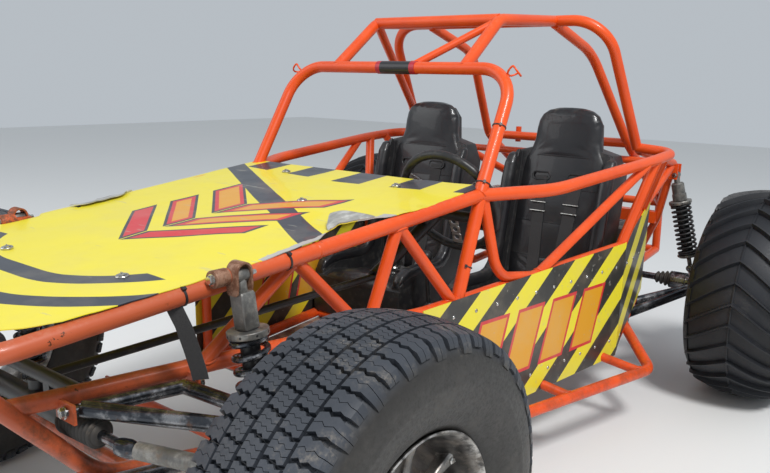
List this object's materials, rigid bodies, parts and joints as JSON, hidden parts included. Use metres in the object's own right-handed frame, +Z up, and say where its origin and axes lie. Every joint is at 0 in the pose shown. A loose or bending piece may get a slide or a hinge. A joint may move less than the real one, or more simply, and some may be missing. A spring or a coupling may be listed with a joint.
{
  "type": "dune buggy",
  "caption": "Open dune buggy with a welded tube frame, flat hood and side sheets, side-by-side bucket seats, steered front wheels and wide paddle rear wheels.",
  "frame": {"origin": "on the ground, in the middle of the vehicle's outline", "axes": "+Z up, +Y toward the tail, so the nose points to -Y, +X toward the driver's side"},
  "size_m": [2.2546, 3.401, 1.439],
  "materials": {
    "frame_paint": "gloss orange-red paint, scuffed",
    "panel_yellow": "semi-gloss yellow with dark stripes",
    "arm_steel": "worn dark steel",
    "bare_alloy": "satin, dusty",
    "rubber_tyre": "matte black, dusty",
    "rim_alloy": "dark machined alloy",
    "seat_cover": "black vinyl",
    "exhaust_steel": "heat-browned steel",
    "engine_metal": "oily grey casting",
    "black_plastic": "matte black"
  },
  "bodies": {
    "chassis": {"windshield_hoop": "frame_paint", "main_hoop": "frame_paint", "roof_frame": "frame_paint", "nose_frame": "frame_paint", "lower_frame": "frame_paint", "rear_frame": "frame_paint", "side_frame_left": "frame_paint", "side_frame_right": "frame_paint", "step_bar_left": "frame_paint", "step_bar_right": "frame_paint", "hood_panel": "panel_yellow", "side_panel_left": "panel_yellow", "side_panel_right": "panel_yellow", "floor_pan": "bare_alloy", "whip_socket": "frame_paint", "exhaust": "exhaust_steel", "fuel_tank": "bare_alloy", "upper_arm_left": "arm_steel", "upper_arm_right": "arm_steel", "lower_arm_left": "arm_steel", "lower_arm_right": "arm_steel", "trailing_arm_left": "arm_steel", "trailing_arm_right": "arm_steel", "pedals": "arm_steel", "front_shock_left": "bare_alloy", "front_shock_right": "bare_alloy", "rear_shock_left": "bare_alloy", "rear_shock_right": "bare_alloy", "seat_left": "seat_cover", "seat_right": "seat_cover", "steering_rack": "black_plastic", "steering_column": "black_plastic", "shifter": "black_plastic", "engine_block": "engine_metal", "transaxle": "engine_metal"},
    "rack": {"tie_rods": "arm_steel"},
    "hand_wheel": {"steering_wheel": "black_plastic"},
    "knuckle_left": {"knuckle_left": "arm_steel"},
    "front_wheel_left": {"front_tyre_left": "rubber_tyre", "front_rim_left": "rim_alloy"},
    "rear_wheel_left": {"rear_tyre_left": "rubber_tyre", "rear_rim_left": "rim_alloy", "axle_shaft_left": "arm_steel"},
    "knuckle_right": {"knuckle_right": "arm_steel"},
    "front_wheel_right": {"front_tyre_right": "rubber_tyre", "front_rim_right": "rim_alloy"},
    "rear_wheel_right": {"rear_tyre_right": "rubber_tyre", "rear_rim_right": "rim_alloy", "axle_shaft_right": "arm_steel"}
  },
  "joints": [
    {"name": "steer_left", "type": "hinge", "parent": "chassis", "child": "knuckle_left", "pos_m": [0.7, -1.164, 0.407], "axis": [0, 0, 1], "range_deg": [-27, 27]},
    {"name": "front_spin_left", "type": "hinge", "parent": "knuckle_left", "child": "front_wheel_left", "pos_m": [0.808, -1.164, 0.407], "axis": [1, 0, 0], "continuous": true},
    {"name": "rear_spin_left", "type": "hinge", "parent": "chassis", "child": "rear_wheel_left", "pos_m": [0.944, 1.076, 0.411], "axis": [1, 0, 0], "continuous": true},
    {"name": "steer_right", "type": "hinge", "parent": "chassis", "child": "knuckle_right", "pos_m": [-0.7, -1.164, 0.407], "axis": [0, 0, 1], "range_deg": [-27, 27]},
    {"name": "front_spin_right", "type": "hinge", "parent": "knuckle_right", "child": "front_wheel_right", "pos_m": [-0.808, -1.164, 0.407], "axis": [1, 0, 0], "continuous": true},
    {"name": "rear_spin_right", "type": "hinge", "parent": "chassis", "child": "rear_wheel_right", "pos_m": [-0.944, 1.076, 0.411], "axis": [1, 0, 0], "continuous": true},
    {"name": "rack_slide", "type": "slide", "parent": "chassis", "child": "rack", "axis": [1, 0, 0], "range_m": [-0.069, 0.069]},
    {"name": "hand_wheel_turn", "type": "hinge", "parent": "chassis", "child": "hand_wheel", "pos_m": [0.285, -0.15, 0.85], "axis": [0, 0.9063, 0.4226], "range_deg": [-270, 270]}
  ],
  "couplings": [
    {"joint": "steer_right", "follows": "steer_left", "ratio": 1},
    {"joint": "rack_slide", "follows": "steer_left", "m_per_rad": 0.146},
    {"joint": "hand_wheel_turn", "follows": "steer_left", "ratio": 10}
  ]
}
